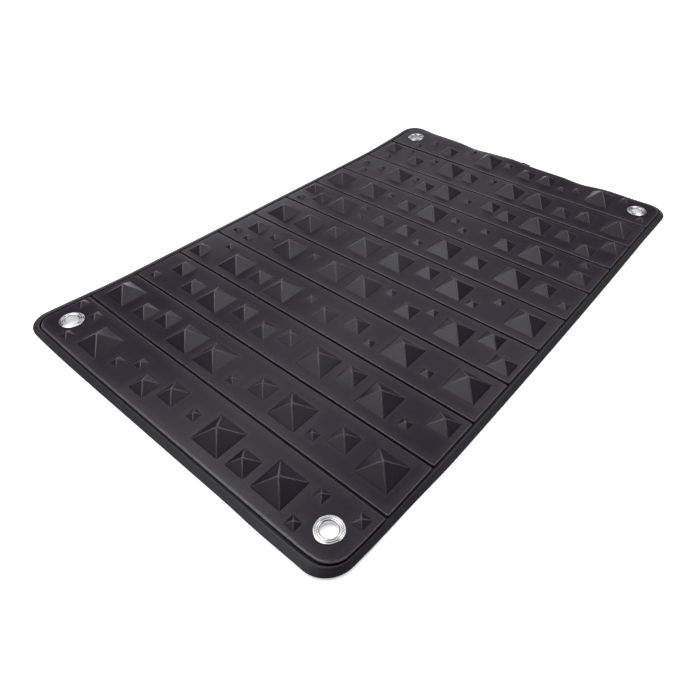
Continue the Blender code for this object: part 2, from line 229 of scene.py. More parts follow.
# Soft boxes: name, place in metres, side in metres and power in watts
LIGHTS = (
    ("over_front", (-0.1, -0.2, 1.3), 0.7, 2.5),
    ("front", (-0.1, -0.9, 1.3), 0.7, 4.4),
    ("back", (-0.1, 1.2, 1.3), 0.7, 2.5),
    ("left", (-0.8, -0.2, 1.3), 0.7, 4.6),
    ("left_front", (-0.8, -0.9, 1.3), 0.7, 3.2),
    ("front_fill", (-0.45, -0.62, 1.25), 0.55, 3.2),
    ("left_far_front", (-0.8, -1.6, 1.3), 0.7, 3.6),
    ("left_middle", (-0.8, 0.5, 1.3), 0.7, 2.5),
    ("left_back", (-0.8, 1.2, 1.3), 0.7, 1.6),
    ("right_middle", (0.6, 0.5, 1.3), 0.7, 6.0),
    ("right_back", (0.6, 1.2, 1.3), 0.7, 2.3),
    ("far_right", (1.3, 0.5, 1.3), 0.7, 1.3),
    ("low_left_back", (-0.95, 1.645, 0.45), 0.8, 1.3),
    ("low_left", (-1.645, 0.95, 0.45), 0.8, 4.1),
)

# Background strength by the height of the view's direction: pale round the horizon and dim overhead
SKY = {"From Min": 0.28, "From Max": 0.55, "To Min": 0.42, "To Max": 0.03}

CAMERA_PLACE = (0.38514, -0.53699, 0.44735)
CAMERA_TURN = (47.09713, 0.01561, 40.49646)
CAMERA_LENS = 28.872


# ---------------------------------------------------------------------------------------------
# Small helpers

def fade(value, start, end):
    """0 up to start and 1 from end on, with a smooth rise between them."""
    share = min(max((value - start) / (end - start), 0.0), 1.0)
    return share * share * (3 - 2 * share)


def bump_at(value, middle, width):
    return math.exp(-(((value - middle) / width) ** 2))


def beyond_pads(x, y):
    """Distance outside the pads' common outline, in millimetres. It is negative inside."""
    radius = PAD_END_CORNER / MM
    over_x = abs(x) - HALF_PADS[0] + radius
    over_y = abs(y) - HALF_PADS[1] + radius
    return math.hypot(max(over_x, 0), max(over_y, 0)) + min(max(over_x, over_y), 0) - radius


def settle(x, y):
    """How far the rubber lies from its drawing at a place, in metres along X, Y and Z.

    All four corners, the left rim and the far edge are lifted, and the far edge is wavy. The right side
    bows out a little in the middle, the rims of the left and right sides lie a little further out, the
    near right corner is pulled in, its eyelet sits a little nearer the edge, and the first groove runs a
    little askew. The distances that each of these fades over are in millimetres, like x and y below.
    """
    x, y = x / MM, y / MM
    rim = fade(beyond_pads(x, y), 0.5, 6.5)
    left_rim = rim * fade(-x, 185, 240)
    right_rim = rim * fade(x, 185, 240) * fade(-y, 220, 310)
    near_rim = rim * fade(-y, 350, 390) * fade(-x, -170, -110)
    wave = FAR_LIFT + sum(height * bump_at(x, middle, width) for middle, width, height in FAR_WAVES)
    lift = FAR_LEFT_LIFT * fade(y, 230, 400) * fade(-x, -80, 250)
    lift += LEFT_RIM_LIFT * left_rim
    lift += NEAR_LEFT_LIFT * fade(-y, 250, 400) * fade(-x, 120, 250)
    lift += NEAR_RIGHT_LIFT * fade(x - y, 545, 620)
    lift += wave * fade(y, 330, 400)
    bow = max(RIGHT_BOW * (1 - ((y - BOW_MIDDLE) / BOW_REACH) ** 2), LEAST_BOW) * fade(x, 200, 245)
    bow -= LEFT_RIM_SHIFT * left_rim + RIGHT_RIM_SHIFT * right_rim
    pull = CORNER_PULL * fade(x - y, 590, 635)
    low = EYELET_SHIFT * fade(-math.dist((x, y), EYELET_SPOT), -34, -16)
    skew = (SKEW_MIDDLE + SKEW_SLOPE * x) * bump_at(y, SKEW_LINE, SKEW_WIDTH)
    across = bow - pull * (1 - 0.5 * rim) - 0.4 * low
    along = pull * (1 - rim) + near_rim - low + skew + opened(y, lift)
    return across * MM, along * MM, lift * MM


def opened(y, lift):
    """Shift along Y that makes a lifted groove wider, so that it can still close when the mat is folded."""
    side = min((y - joint / MM for joint in JOINTS), key=abs)
    half = GROOVE / MM / 2
    if abs(side) < half:
        share = side / half
    else:
        share = math.copysign(1 - fade(abs(side), half, half + OPENING_FADE), side)
    return OPENING * lift * share


def rounded_outline(low_x, high_x, low_y, high_y, near_radius, far_radius, steps):
    """Anticlockwise rectangle with its near and far corners rounded."""
    corners = (
        (low_x + near_radius, low_y + near_radius, near_radius, 180),
        (high_x - near_radius, low_y + near_radius, near_radius, 270),
        (high_x - far_radius, high_y - far_radius, far_radius, 0),
        (low_x + far_radius, high_y - far_radius, far_radius, 90),
    )
    outline = []
    for x, y, radius, start in corners:
        for step in range(steps + 1):
            angle = math.radians(start + 90 * step / steps)
            outline.append((x + radius * math.cos(angle), y + radius * math.sin(angle)))
    return outline


def side_counts(outline, longest):
    """How many stretches each side of an outline is cut into."""
    counts = []
    for here, there in zip(outline, outline[1:] + outline[:1]):
        counts.append(max(1, math.ceil(math.dist(here, there) / longest)))
    return counts


def divided(outline, counts):
    """The outline with each side cut into so many stretches."""
    points = []
    for (x, y), (u, v), count in zip(outline, outline[1:] + outline[:1], counts):
        for k in range(count):
            points.append((x + (u - x) * k / count, y + (v - y) * k / count))
    return points


def circle(centre, radius, steps=ROUND_STEPS):
    points = []
    for step in range(steps):
        angle = 2 * math.pi * step / steps
        points.append((centre[0] + radius * math.cos(angle), centre[1] + radius * math.sin(angle)))
    return points


class Skin:
    """Points, faces, and the edge lightening of one piece while it is being made, which is partly real
    rubbing and partly painted highlight. A loop is a list of its points.
    """

    def __init__(self):
        self.points = []
        self.wear_and_sheen = []
        self.faces = []

    def loop(self, outline, z, wear_and_sheen=0.0):
        first = len(self.points)
        for x, y in outline:
            self.points.append((x, y, z))
            self.wear_and_sheen.append(wear_and_sheen)
        return list(range(first, len(self.points)))

    def strip(self, low, high):
        for i in range(len(low)):
            j = (i + 1) % len(low)
            self.faces.append((low[i], low[j], high[j], high[i]))

    def strips(self, loops):
        for low, high in zip(loops, loops[1:]):
            self.strip(low, high)

    def cap(self, loop, x, y, z, wear_and_sheen=0.0):
        self.points.append((x, y, z))
        self.wear_and_sheen.append(wear_and_sheen)
        middle = len(self.points) - 1
        for i in range(len(loop)):
            self.faces.append((loop[i], loop[(i + 1) % len(loop)], middle))

    def fill(self, outer, holes, z):
        """Level triangles inside one loop and outside the others, with a grid of points between them."""
        indices = list(outer)
        rings = [list(range(len(outer)))]
        for hole in holes:
            rings.append(list(range(len(indices), len(indices) + len(hole))))
            indices += hole
        flat = np.array([self.points[i][:2] for i in indices])
        starts = np.array([flat[ring[k]] for ring in rings for k in range(len(ring))])
        ends = np.array([flat[ring[(k + 1) % len(ring)]] for ring in rings for k in range(len(ring))])
        for spot in clear_spots(flat, starts, ends):
            self.points.append((spot[0], spot[1], z))
            self.wear_and_sheen.append(0.0)
            indices.append(len(self.points) - 1)
        flat = [Vector(self.points[i][:2]) for i in indices]
        _, _, triangles, origins, _, kinds = delaunay_2d_cdt(flat, [], rings, 1, 1e-7)
        if not all(origins):
            raise ValueError("loops cross each other")
        for triangle, kind in zip(triangles, kinds):
            if set(kind) == {0}:
                self.faces.append(tuple(indices[origins[k][0]] for k in triangle))


def clear_spots(flat, starts, ends):
    """Grid points in the area of some loops that aren't close to any of their edges."""
    low, high = flat.min(axis=0), flat.max(axis=0)
    columns, rows = np.maximum(1, np.round((high - low) / GRID)).astype(int)
    across = np.linspace(low[0], high[0], columns + 1)[1:-1]
    along = np.linspace(low[1], high[1], rows + 1)[1:-1]
    spots = np.array([(x, y) for x in across for y in along])
    kept = []
    way = ends - starts
    for spot in spots:
        share = np.clip(((spot - starts) * way).sum(axis=1) / (way ** 2).sum(axis=1), 0, 1)
        if np.hypot(*(starts + way * share[:, None] - spot).T).min() > CLEAR:
            kept.append(spot)
    return kept


def mesh_of(skin, name):
    mesh = bpy.data.meshes.new(name)
    mesh.from_pydata(skin.points, [], skin.faces)
    attribute = mesh.attributes.new("wear_and_sheen", "FLOAT", "POINT")
    attribute.data.foreach_set("value", skin.wear_and_sheen)
    return mesh


def finish_mesh(mesh, angle=40):
    """Joins points that meet, faces everything outward, lays the piece as the rubber lies, and shades it."""
    bm = bmesh.new()
    bm.from_mesh(mesh)
    bmesh.ops.remove_doubles(bm, verts=bm.verts[:], dist=2e-6)
    loose = [vert for vert in bm.verts if not vert.link_faces]
    bmesh.ops.delete(bm, geom=loose, context="VERTS")
    bmesh.ops.recalc_face_normals(bm, faces=bm.faces[:])
    for vert in bm.verts:
        vert.co += Vector(settle(vert.co.x, vert.co.y))
    bm.to_mesh(mesh)
    bm.free()
    mesh.shade_smooth()
    mesh.set_sharp_from_angle(angle=math.radians(angle))


def add_piece(name, mesh, material, nodes, body=None, blend=None):
    """Links one finished piece, hides the CAD parts it stands for and parents it to the empty of its body; a
    piece given blend is left with its transform baked instead.
    """
    piece = bpy.data.objects.new(name, mesh)
    bpy.context.scene.collection.objects.link(piece)
    mesh.materials.clear()
    mesh.materials.append(material)
    if blend:
        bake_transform(piece)
    else:
        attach(piece, body)
    if nodes:
        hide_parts(*nodes)
    weigh = piece.modifiers.new("weigh", "WEIGHTED_NORMAL")
    weigh.mode = "FACE_AREA"
    weigh.weight = 60
    weigh.keep_sharp = True


def sliced_at(bm, place, normal, clear_outer=False):
    """Cuts a mesh with a plane, and returns the new edges."""
    geometry = bm.verts[:] + bm.edges[:] + bm.faces[:]
    cut = bmesh.ops.bisect_plane(
        bm, geom=geometry, dist=1e-7, plane_co=place, plane_no=normal, clear_outer=clear_outer
    )
    return [item for item in cut["geom_cut"] if isinstance(item, bmesh.types.BMEdge)]


def sliced(bm, step):
    """Cuts long faces along X and Y, so that they can follow the rubber's waves."""
    low = Vector((min(v.co.x for v in bm.verts), min(v.co.y for v in bm.verts), 0))
    high = Vector((max(v.co.x for v in bm.verts), max(v.co.y for v in bm.verts), 0))
    for axis in (0, 1):
        count = max(1, round((high[axis] - low[axis]) / step))
        for k in range(1, count):
            place = Vector((0.0, 0.0, 0.0))
            place[axis] = low[axis] + (high[axis] - low[axis]) * k / count
            normal = Vector((0.0, 0.0, 0.0))
            normal[axis] = 1.0
            sliced_at(bm, place, normal)


def notched(mesh, bottom, top):
    """The last band's sheet or pad, with room cut out of it for the inlet bush."""
    bm = bmesh.new()
    bm.from_mesh(mesh)
    bmesh.ops.recalc_face_normals(bm, faces=bm.faces[:])
    bm.to_mesh(mesh)
    bm.free()
    bush_low, bush_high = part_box("lead_inlet")
    low = Vector((bush_low.x - INLET_GAP, bush_low.y - INLET_GAP, bottom))
    high = Vector((bush_high.x + INLET_GAP, HALF_LENGTH + 5 * MM, top))
    bm = bmesh.new()
    bmesh.ops.create_cube(bm, size=1.0)
    matrix = Matrix.Translation((low + high) / 2) @ Matrix.Diagonal((*(high - low), 1.0))
    bmesh.ops.transform(bm, matrix=matrix, verts=bm.verts)
    box_mesh = bpy.data.meshes.new("work_box")
    bm.to_mesh(box_mesh)
    bm.free()
    item = bpy.data.objects.new("work", mesh)
    box = bpy.data.objects.new("work_box", box_mesh)
    for work in (item, box):
        bpy.context.scene.collection.objects.link(work)
    modifier = item.modifiers.new("cut", "BOOLEAN")
    modifier.operation = "DIFFERENCE"
    modifier.solver = "EXACT"
    modifier.object = box
    bpy.context.view_layer.update()
    result = bpy.data.meshes.new_from_object(item.evaluated_get(bpy.context.evaluated_depsgraph_get()))
    for work in (item, box):
        bpy.data.objects.remove(work, do_unlink=True)
    name = mesh.name
    for work in (mesh, box_mesh):
        bpy.data.meshes.remove(work)
    result.name = name
    return result


# ---------------------------------------------------------------------------------------------
# Materials

class Nodes:
    """A material's node tree, with short calls to add and join nodes."""

    def __init__(self, name):
        self.material = bpy.data.materials.new(name)
        self.material.use_nodes = True
        self.tree = self.material.node_tree
        self.shader = self.tree.nodes["Principled BSDF"]
        self.place = self.add("ShaderNodeTexCoord").outputs["Object"]

    def add(self, kind, **settings):
        node = self.tree.nodes.new(kind)
        for key, value in settings.items():
            setattr(node, key, value)
        return node

    def join(self, source, target):
        self.tree.links.new(source, target)

    def noise(self, scale, detail=3.0, roughness=0.5, stretch=None):
        node = self.add("ShaderNodeTexNoise")
        node.inputs["Scale"].default_value = scale
        node.inputs["Detail"].default_value = detail
        node.inputs["Roughness"].default_value = roughness
        place = self.place
        if stretch:
            mapping = self.add("ShaderNodeMapping")
            mapping.inputs["Scale"].default_value = stretch
            self.join(self.place, mapping.inputs["Vector"])
            place = mapping.outputs["Vector"]
        self.join(place, node.inputs["Vector"])
        return node.outputs["Fac"]

    def span(self, source, low, high, from_low=0.3, from_high=0.7):
        node = self.add("ShaderNodeMapRange")
        node.inputs["From Min"].default_value = from_low
        node.inputs["From Max"].default_value = from_high
        node.inputs["To Min"].default_value = low
        node.inputs["To Max"].default_value = high
        self.join(source, node.inputs["Value"])
        return node.outputs["Result"]

    def math(self, operation, first, second):
        node = self.add("ShaderNodeMath", operation=operation)
        for value, socket in ((first, node.inputs[0]), (second, node.inputs[1])):
            if isinstance(value, (int, float)):
                socket.default_value = value
            else:
                self.join(value, socket)
        return node.outputs[0]

    def mix(self, factor, first, second):
        node = self.add("ShaderNodeMix", data_type="RGBA")
        for value, socket in ((factor, node.inputs[0]), (first, node.inputs[6]), (second, node.inputs[7])):
            if isinstance(value, tuple):
                socket.default_value = (*value, 1.0)
            elif isinstance(value, (int, float)):
                socket.default_value = value
            else:
                self.join(value, socket)
        return node.outputs[2]

    def bump(self, height, strength, distance, under=None):
        node = self.add("ShaderNodeBump")
        node.inputs["Strength"].default_value = strength
        node.inputs["Distance"].default_value = distance
        self.join(height, node.inputs["Height"])
        if under:
            self.join(under, node.inputs["Normal"])
        return node.outputs["Normal"]

    def wear_and_sheen_factor(self):
        # The attribute holds real rubbing and painted highlight together
        return self.add("ShaderNodeAttribute", attribute_name="wear_and_sheen").outputs["Fac"]


def pad_rubber_material():
    """Moulded charcoal rubber: a fine grain, faint clouding, and edges and ridges painted paler, partly as
    real rubbing and partly as painted highlight.
    """
    nodes = Nodes("moulded_rubber")
    cloud = nodes.noise(9.0, 4.0, 0.55)
    grain = nodes.noise(1400.0, 2.0, 0.6)
    speckle = nodes.noise(420.0, 3.0, 0.6)
    base = nodes.mix(nodes.span(cloud, 0.0, 1.0), (0.0064, 0.0044, 0.0105), (0.0086, 0.0060, 0.0138))
    # Painted highlight, partly real rubbing: pale grey (0.120, 0.115, 0.125) where the attribute is high, on
    # pad edges, ridges, tips and moat lips
    rubbing_and_highlight = nodes.math("MULTIPLY", nodes.wear_and_sheen_factor(), nodes.span(speckle, 0.35, 0.95))
    colour = nodes.mix(rubbing_and_highlight, base, (0.120, 0.115, 0.125))
    nodes.join(colour, nodes.shader.inputs["Base Color"])
    rough = nodes.math("ADD", nodes.span(cloud, 0.27, 0.35), nodes.span(speckle, -0.012, 0.012))
    nodes.join(rough, nodes.shader.inputs["Roughness"])
    coarse = nodes.bump(speckle, 0.10, 0.00010)
    nodes.join(nodes.bump(grain, 0.25, 0.00005, coarse), nodes.shader.inputs["Normal"])
    nodes.shader.inputs["Specular IOR Level"].default_value = 0.25
    return nodes.material


def sheet_rubber_material():
    """Matte sheet rubber with a cloth-like pressed grain."""
    nodes = Nodes("sheet_rubber_look")
    cloud = nodes.noise(14.0, 4.0, 0.6)
    speckle = nodes.noise(650.0, 3.0, 0.7)
    weave = nodes.noise(900.0, 1.0, 0.5, stretch=(1.0, 0.35, 1.0))
    base = nodes.mix(nodes.span(cloud, 0.0, 1.0), (0.0064, 0.0050, 0.0092), (0.0088, 0.0070, 0.0122))
    flecked = nodes.mix(nodes.span(speckle, 0.0, 0.8, 0.5, 0.8), base, (0.027, 0.024, 0.033))
    # Paler grey (0.050, 0.049, 0.052) where the rim's profile loops are marked: its outer wall and crest
    colour = nodes.mix(nodes.math("MULTIPLY", nodes.wear_and_sheen_factor(), 0.35), flecked, (0.050, 0.049, 0.052))
    nodes.join(colour, nodes.shader.inputs["Base Color"])
    nodes.join(nodes.span(speckle, 0.36, 0.52), nodes.shader.inputs["Roughness"])
    coarse = nodes.bump(speckle, 0.5, 0.0002)
    nodes.join(nodes.bump(weave, 0.4, 0.00012, coarse), nodes.shader.inputs["Normal"])
    nodes.shader.inputs["Specular IOR Level"].default_value = 0.3
    return nodes.material


def metal_material(name, colour, dull, low, high):
    """Plated metal with faint smears and fine scratches."""
    nodes = Nodes(name)
    smear = nodes.noise(90.0, 3.0, 0.5)
    scratch = nodes.noise(2600.0, 2.0, 0.5, stretch=(1.0, 0.08, 1.0))
    nodes.join(nodes.mix(nodes.span(smear, 0.0, 0.5), colour, dull), nodes.shader.inputs["Base Color"])
    nodes.join(nodes.span(smear, low, high), nodes.shader.inputs["Roughness"])
    nodes.join(nodes.bump(scratch, 0.005, 0.00002), nodes.shader.inputs["Normal"])
    nodes.shader.inputs["Metallic"].default_value = 1.0
    return nodes.material


def plastic_material(name, dark, light, rough):
    nodes = Nodes(name)
    cloud = nodes.noise(60.0, 4.0, 0.6)
    grain = nodes.noise(1500.0, 2.0, 0.6)
    nodes.join(nodes.mix(nodes.span(cloud, 0.0, 1.0), dark, light), nodes.shader.inputs["Base Color"])
    nodes.join(nodes.span(cloud, rough - 0.05, rough + 0.05), nodes.shader.inputs["Roughness"])
    nodes.join(nodes.bump(grain, 0.3, 0.00005), nodes.shader.inputs["Normal"])
    return nodes.material


def foil_material():
    """Rolled aluminium foil: fine lines along the panel and shallow creases."""
    nodes = Nodes("foil_look")
    lines = nodes.noise(900.0, 2.0, 0.5, stretch=(0.05, 1.0, 1.0))
    crease = nodes.noise(45.0, 3.0, 0.6)
    colour = nodes.mix(nodes.span(crease, 0.0, 1.0), (0.80, 0.80, 0.82), (0.88, 0.88, 0.89))
    nodes.join(colour, nodes.shader.inputs["Base Color"])
    nodes.join(nodes.span(lines, 0.25, 0.42), nodes.shader.inputs["Roughness"])
    nodes.join(nodes.bump(crease, 0.3, 0.0003), nodes.shader.inputs["Normal"])
    nodes.shader.inputs["Metallic"].default_value = 1.0
    return nodes.material


# ---------------------------------------------------------------------------------------------
# Rubber sheet, with its rim

def rim_ring(share):
    inset_x = share * RIM_WIDTH_X
    inset_y = share * RIM_WIDTH_Y
    radius = MAT_CORNER - inset_x
    return rounded_outline(
        -HALF_WIDTH + inset_x, HALF_WIDTH - inset_x, -HALF_LENGTH + inset_y, HALF_LENGTH - inset_y,
        radius, radius, RIM_CORNER_STEPS,
    )


def eyelet_centre(end, side):
    low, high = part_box(f"eyelet_{end}_{side}")
    return (low + high) / 2


EYELETS = {(end, side): eyelet_centre(end, side) for end in ("near", "far") for side in ("left", "right")}


def whole_sheet():
    """The sheet with its rim and the bores for the eyelets, as one closed mesh, before it is cut."""
    skin = Skin()
    counts = side_counts(rim_ring(0.0), GRID)
    loops = []
    for (share, height), wear_and_sheen in zip(RIM_PROFILE, RIM_LIGHTENING):
        loops.append(skin.loop(divided(rim_ring(share), counts), height * MM, wear_and_sheen))
    skin.strips(loops)
    recesses, bores = [], []
    for centre in EYELETS.values():
        rings = [
            skin.loop(circle(centre, RECESS_RADIUS), 0.0),
            skin.loop(circle(centre, RECESS_RADIUS), RECESS_TOP),
            skin.loop(circle(centre, SHEET_BORE), RECESS_TOP),
            skin.loop(circle(centre, SHEET_BORE), BASE_TOP),
        ]
        skin.strips(rings)
        recesses.append(rings[0])
        bores.append(rings[-1])
    skin.fill(loops[0], recesses, 0.0)
    skin.fill(loops[-1], bores, BASE_TOP)
    return mesh_of(skin, "whole_sheet")


def stretch_of(whole, low, high):
    """The part of the whole sheet from low to high along Y, closed at both cuts."""
    bm = bmesh.new()
    bm.from_mesh(whole)
    for y, way in ((low, -1), (high, 1)):
        if y is not None:
            edges = sliced_at(bm, (0, y, 0), (0, way, 0), clear_outer=True)
            made = bmesh.ops.contextual_create(bm, geom=edges)["faces"]
            bmesh.ops.triangulate(bm, faces=made)
    return bm


def build_sheet(rubber):
    """One stretch of sheet for each band, and the webs that close the sheet across the grooves."""
    whole = whole_sheet()
    edges = [None, *JOINTS, None]
    for index in range(PANELS):
        low, high = edges[index], edges[index + 1]
        low = None if low is None else low + GROOVE / 2
        high = None if high is None else high - GROOVE / 2
        bm = stretch_of(whole, low, high)
        number = f"{index + 1:02d}"
        mesh = bpy.data.meshes.new(f"base_skin_{number}")
        bm.to_mesh(mesh)
        bm.free()
        if index == PANELS - 1:
            mesh = notched(mesh, -5 * MM, 10 * MM)
        finish_mesh(mesh)
        add_piece(mesh.name, mesh, rubber, [f"base_panel_{number}"], f"band_{number}")
    for index, y in enumerate(JOINTS):
        bm = stretch_of(whole, y - GROOVE / 2, y + GROOVE / 2)
        for k in (-1, 0, 1):
            sliced_at(bm, (0, y + k * GROOVE / 4, 0), (0, 1, 0))
        mesh = bpy.data.meshes.new(f"web_{index + 1:02d}_{index + 2:02d}")
        bm.to_mesh(mesh)
        bm.free()
        finish_mesh(mesh)
        ends = [f"band_{index + 1:02d}", f"band_{index + 2:02d}"]
        span = [(0, y - GROOVE / 2, 0), (0, y + GROOVE / 2, 0)]
        add_piece(mesh.name, mesh, rubber, [], blend=(*ends, *span))
    bpy.data.meshes.remove(whole)


# ---------------------------------------------------------------------------------------------
# Pads

def pyramids_on(node):
    """Middle and height of each pyramid on a CAD pad, from the tips in its mesh."""
    found = {}
    for vert in frame["nodes"][node].data.vertices:
        height = vert.co.z - PAD_TOP
        if height > LEAST_HEIGHT:
            key = (round(vert.co.x / MM * 2), round(vert.co.y / MM * 2))
            found[key] = (vert.co.x, vert.co.y, height)
    return [found[key] for key in sorted(found)]


def pyramid(skin, x, y, height):
    """Adds one pyramid in its shallow moat, and returns the moat's outer loop."""
    foot_radius, top_radius, blunt, depth, width = (value * MM for value in RIDGES[round(height / MM)])
    half = height / SLOPE

    def ring(reach, radius, z, wear_and_sheen=0.0):
        outline = rounded_outline(x - reach, x + reach, y - reach, y + reach, radius, radius, RIDGE_STEPS)
        return skin.loop(outline, z, wear_and_sheen)

    reach = half + depth / SLOPE + width
    # Painted highlight: a faint paler line along the moat's lip
    outer = ring(reach, foot_radius + width + depth, PAD_TOP, 0.1)
    loops = [
        outer,
        ring(reach - 0.22 * width, foot_radius + 1.7 * width, PAD_TOP - 0.1 * depth, 0.3),
        ring(reach - 0.55 * width, foot_radius + width, PAD_TOP - 0.55 * depth, 0.1),
        ring(half + 0.9 * depth / SLOPE, foot_radius, PAD_TOP - depth),
        ring(half + 0.45 * depth / SLOPE, foot_radius, PAD_TOP - 0.45 * depth),
    ]
    foot = len(loops)
    for step in range(FACE_LEVELS + 1):
        share = step / FACE_LEVELS
        there = half + (blunt - half) * share
        radius = foot_radius + (min(top_radius, blunt) - foot_radius) * share ** 0.8
        wear_and_sheen = 0.0 if step == 0 else FLAT_WEAR
        loops.append(ring(there, min(radius, 0.999 * there), PAD_TOP + SLOPE * (half - there), wear_and_sheen))
    # Painted highlight: the blunt tip is marked paler
    for share in TIP_SHARES:
        there = blunt * share
        rise = SLOPE * blunt * (1 - share ** 2) / 2
        loops.append(ring(there, 0.999 * there, PAD_TOP + SLOPE * (half - blunt) + rise, 0.7))
    skin.strips(loops)
    skin.cap(loops[-1], x, y, PAD_TOP + SLOPE * (half - blunt) + SLOPE * blunt / 2, 0.8)
    mark_ridges(skin, loops[foot:])
    return outer


def mark_ridges(skin, loops):
    """Painted highlight, partly real rubbing, on the rounded ridges only, at the middle of each corner, and
    more of it towards the tip.
    """
    for level, loop in enumerate(loops):
        most = min(0.42 + 0.075 * level, 1.0)
        for corner in range(4):
            for step in range(RIDGE_STEPS + 1):
                middle = 1 - abs(step / RIDGE_STEPS - 0.5) * 2
                index = loop[corner * (RIDGE_STEPS + 1) + step]
                skin.wear_and_sheen[index] = max(skin.wear_and_sheen[index] * 0.3, middle * most)


def pad_edges(index):
    """Low and high X, low and high Y, and near and far corner radius of a pad."""
    low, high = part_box(f"pad_{index + 1:02d}")
    near = PAD_END_CORNER if index == 0 else PAD_CORNER
    far = PAD_END_CORNER if index == PANELS - 1 else PAD_CORNER
    return low.x, high.x, low.y, high.y, near, far


def pad_ring(index, inset, near_inset, far_inset, steps):
    """Outline of a pad. The sides along X are inset by near_inset and far_inset, and its ends by inset."""
    low_x, high_x, low_y, high_y, near, far = pad_edges(index)
    return rounded_outline(
        low_x + inset, high_x - inset, low_y + near_inset, high_y - far_inset,
        max(near - inset, SMALLEST_CORNER), max(far - inset, SMALLEST_CORNER), steps,
    )


def is_end(index):
    return index in (0, PANELS - 1)


def underside(skin, node):
    """Adds the cable channel and pockets of a CAD pad. Returns their loops at the pad's bottom."""
    bm = bmesh.new()
    bm.from_mesh(frame["nodes"][node].data)
    bmesh.ops.remove_doubles(bm, verts=bm.verts[:], dist=1e-6)
    bush_low, bush_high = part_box("lead_inlet")
    at_bottom = PAD_BOTTOM + 0.05 * MM
    far_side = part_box(node)[1].y - 0.2 * MM
    gone = []
    for face in bm.faces:
        top = max(vert.co.z for vert in face.verts)
        spot = face.calc_center_median()
        in_notch = spot.y > bush_low.y - 0.5 * MM and abs(spot.x) < bush_high.x + 0.5 * MM
        if top > CHANNEL_TOP or top < at_bottom or in_notch or spot.y > far_side:
            gone.append(face)
    bmesh.ops.delete(bm, geom=gone, context="FACES")
    sliced(bm, GRID)
    rims = {}
    for edge in bm.edges:
        if len(edge.link_faces) == 1 and all(vert.co.z < at_bottom for vert in edge.verts):
            for vert in edge.verts:
                rims.setdefault(vert, []).append(edge)
    first = len(skin.points)
    bm.verts.index_update()
    for vert in bm.verts:
        skin.points.append(tuple(vert.co))
        skin.wear_and_sheen.append(0.0)
    for face in bm.faces:
        skin.faces.append(tuple(first + vert.index for vert in face.verts))
    holes = []
    seen = set()
    for start in rims:
        if start in seen:
            continue
        loop = []
        ahead = [start]
        while ahead:
            loop.append(ahead[0])
            seen.add(ahead[0])
            beside = [edge.other_vert(loop[-1]) for edge in rims[loop[-1]]]
            ahead = [vert for vert in beside if vert not in seen]
        holes.append([first + vert.index for vert in loop])
    bm.free()
    return holes


def build_pad(index, rubber):
    """A pad with rounded edges, its pyramids, the channel and pockets under it, and bores at the ends."""
    number = f"{index + 1:02d}"
    node = f"pad_{number}"
    skin = Skin()
    near_bevel = PAD_END_BEVEL if index == 0 else PAD_BEVEL
    far_bevel = PAD_END_BEVEL if index == PANELS - 1 else PAD_BEVEL
    steps = END_CORNER_STEPS if is_end(index) else CORNER_STEPS
    counts = side_counts(pad_ring(index, 0, 0, 0, steps), GRID)
    loops = []
    for step in range(BEVEL_STEPS + 1):
        angle = math.pi / 2 * step / BEVEL_STEPS
        share = 1 - math.sin(angle)
        outline = pad_ring(index, share * PAD_BEVEL, share * near_bevel, share * far_bevel, steps)
        # Painted highlight along the pads' rounded edges: palest halfway round the bevel
        wear_and_sheen = math.sin(2 * angle) if 0 < step < BEVEL_STEPS else FLAT_WEAR
        loops.append(skin.loop(divided(outline, counts), PAD_TOP - PAD_BEVEL * (1 - math.cos(angle)), wear_and_sheen))
    loops.append(skin.loop(divided(pad_ring(index, 0, 0, 0, steps), counts), SKIRT_BOTTOM))
    inner = divided(pad_ring(index, SKIRT_WALL, SKIRT_WALL, SKIRT_WALL, steps), counts)
    loops.append(skin.loop(inner, SKIRT_BOTTOM))
    loops.append(skin.loop(inner, PAD_BOTTOM))
    skin.strips(loops)

    holes = [pyramid(skin, *spot) for spot in pyramids_on(node)]
    low_holes = underside(skin, node)
    if is_end(index):
        for (end, _), centre in EYELETS.items():
            if (end == "near") == (index == 0):
                bore = [
                    skin.loop(circle(centre, SHEET_BORE), PAD_TOP),
                    skin.loop(circle(centre, SHEET_BORE), PAD_BOTTOM),
                ]
                skin.strips(bore)
                holes.append(bore[0])
                low_holes.append(bore[1])
    skin.fill(loops[0], holes, PAD_TOP)
    skin.fill(loops[-1], low_holes, PAD_BOTTOM)
    mesh = mesh_of(skin, f"pad_skin_{number}")
    if index == PANELS - 1:
        mesh = notched(mesh, 0.0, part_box("lead_inlet")[1].z + INLET_GAP)
    finish_mesh(mesh, 50)
    add_piece(mesh.name, mesh, rubber, [node], f"band_{number}")


# ---------------------------------------------------------------------------------------------
# Eyelets, washers, inlet and the parts inside

def turned(centre, profile):
    """A profile turned round an upright axis."""
    skin = Skin()
    loops = [skin.loop(circle(centre, radius * MM), height * MM) for radius, height in profile]
    skin.strips([*loops, loops[0]])
    return skin


def build_eyelets(bright, washer):
    for (end, side), centre in EYELETS.items():
        body = f"band_{1 if end == 'near' else PANELS:02d}"
        for kind, profile, material, slot in (
            ("eyelet", EYELET_PROFILE, bright, "bright_metal"),
            ("washer", WASHER_PROFILE, washer, "washer_metal"),
        ):
            name = f"{kind}_skin_{end}_{side}"
            mesh = mesh_of(turned(centre, profile), name)
            finish_mesh(mesh, 60)
            add_piece(name, mesh, material, [f"{kind}_{end}_{side}"], body)


